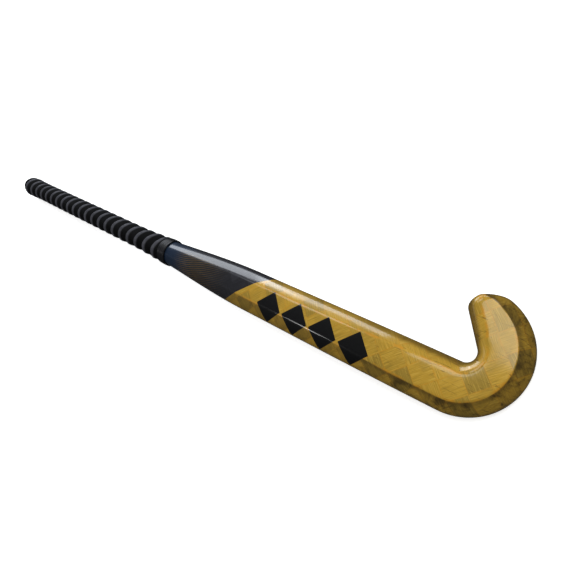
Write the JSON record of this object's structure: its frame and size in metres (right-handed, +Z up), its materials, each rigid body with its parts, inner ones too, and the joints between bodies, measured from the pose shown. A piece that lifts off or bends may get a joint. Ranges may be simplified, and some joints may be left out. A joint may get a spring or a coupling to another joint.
{
  "type": "field hockey stick",
  "caption": "Field hockey stick with a bowed composite shaft, a bevelled back, a flat playing face, a hooked head and a ribbed wrapped grip.",
  "frame": {"origin": "middle of the bounding box, on the plane that the stick lies on", "axes": "+X from the butt to the hook, +Y to the side that the toe points to, +Z up, from the playing face to the back"},
  "size_m": [0.9268, 0.1178, 0.0493],
  "materials": {
    "grip": "matte",
    "finishing_tape": "satin",
    "underlay": "matte foam tape",
    "butt_cap": "matte",
    "butt_plug": "matte foam",
    "skin": "clear lacquer over gold spread-tow fibre",
    "laminate": "carbon and glass fibre in epoxy",
    "tube": "carbon fibre in epoxy",
    "tube_foam": "expanding foam",
    "head_core": "polyurethane core",
    "face_ply": "aramid cloth in epoxy"
  },
  "bodies": {
    "root": {"grip_wrap": "grip", "finishing_tape": "finishing_tape", "grip_underlay": "underlay", "butt_cap": "butt_cap", "butt_plug": "butt_plug", "outer_skin": "skin", "carbon_laminate": "laminate", "toe_side_tube": "tube", "heel_side_tube": "tube", "toe_side_foam": "tube_foam", "heel_side_foam": "tube_foam", "head_core": "head_core", "head_face_ply": "face_ply"}
  },
  "joints": []
}
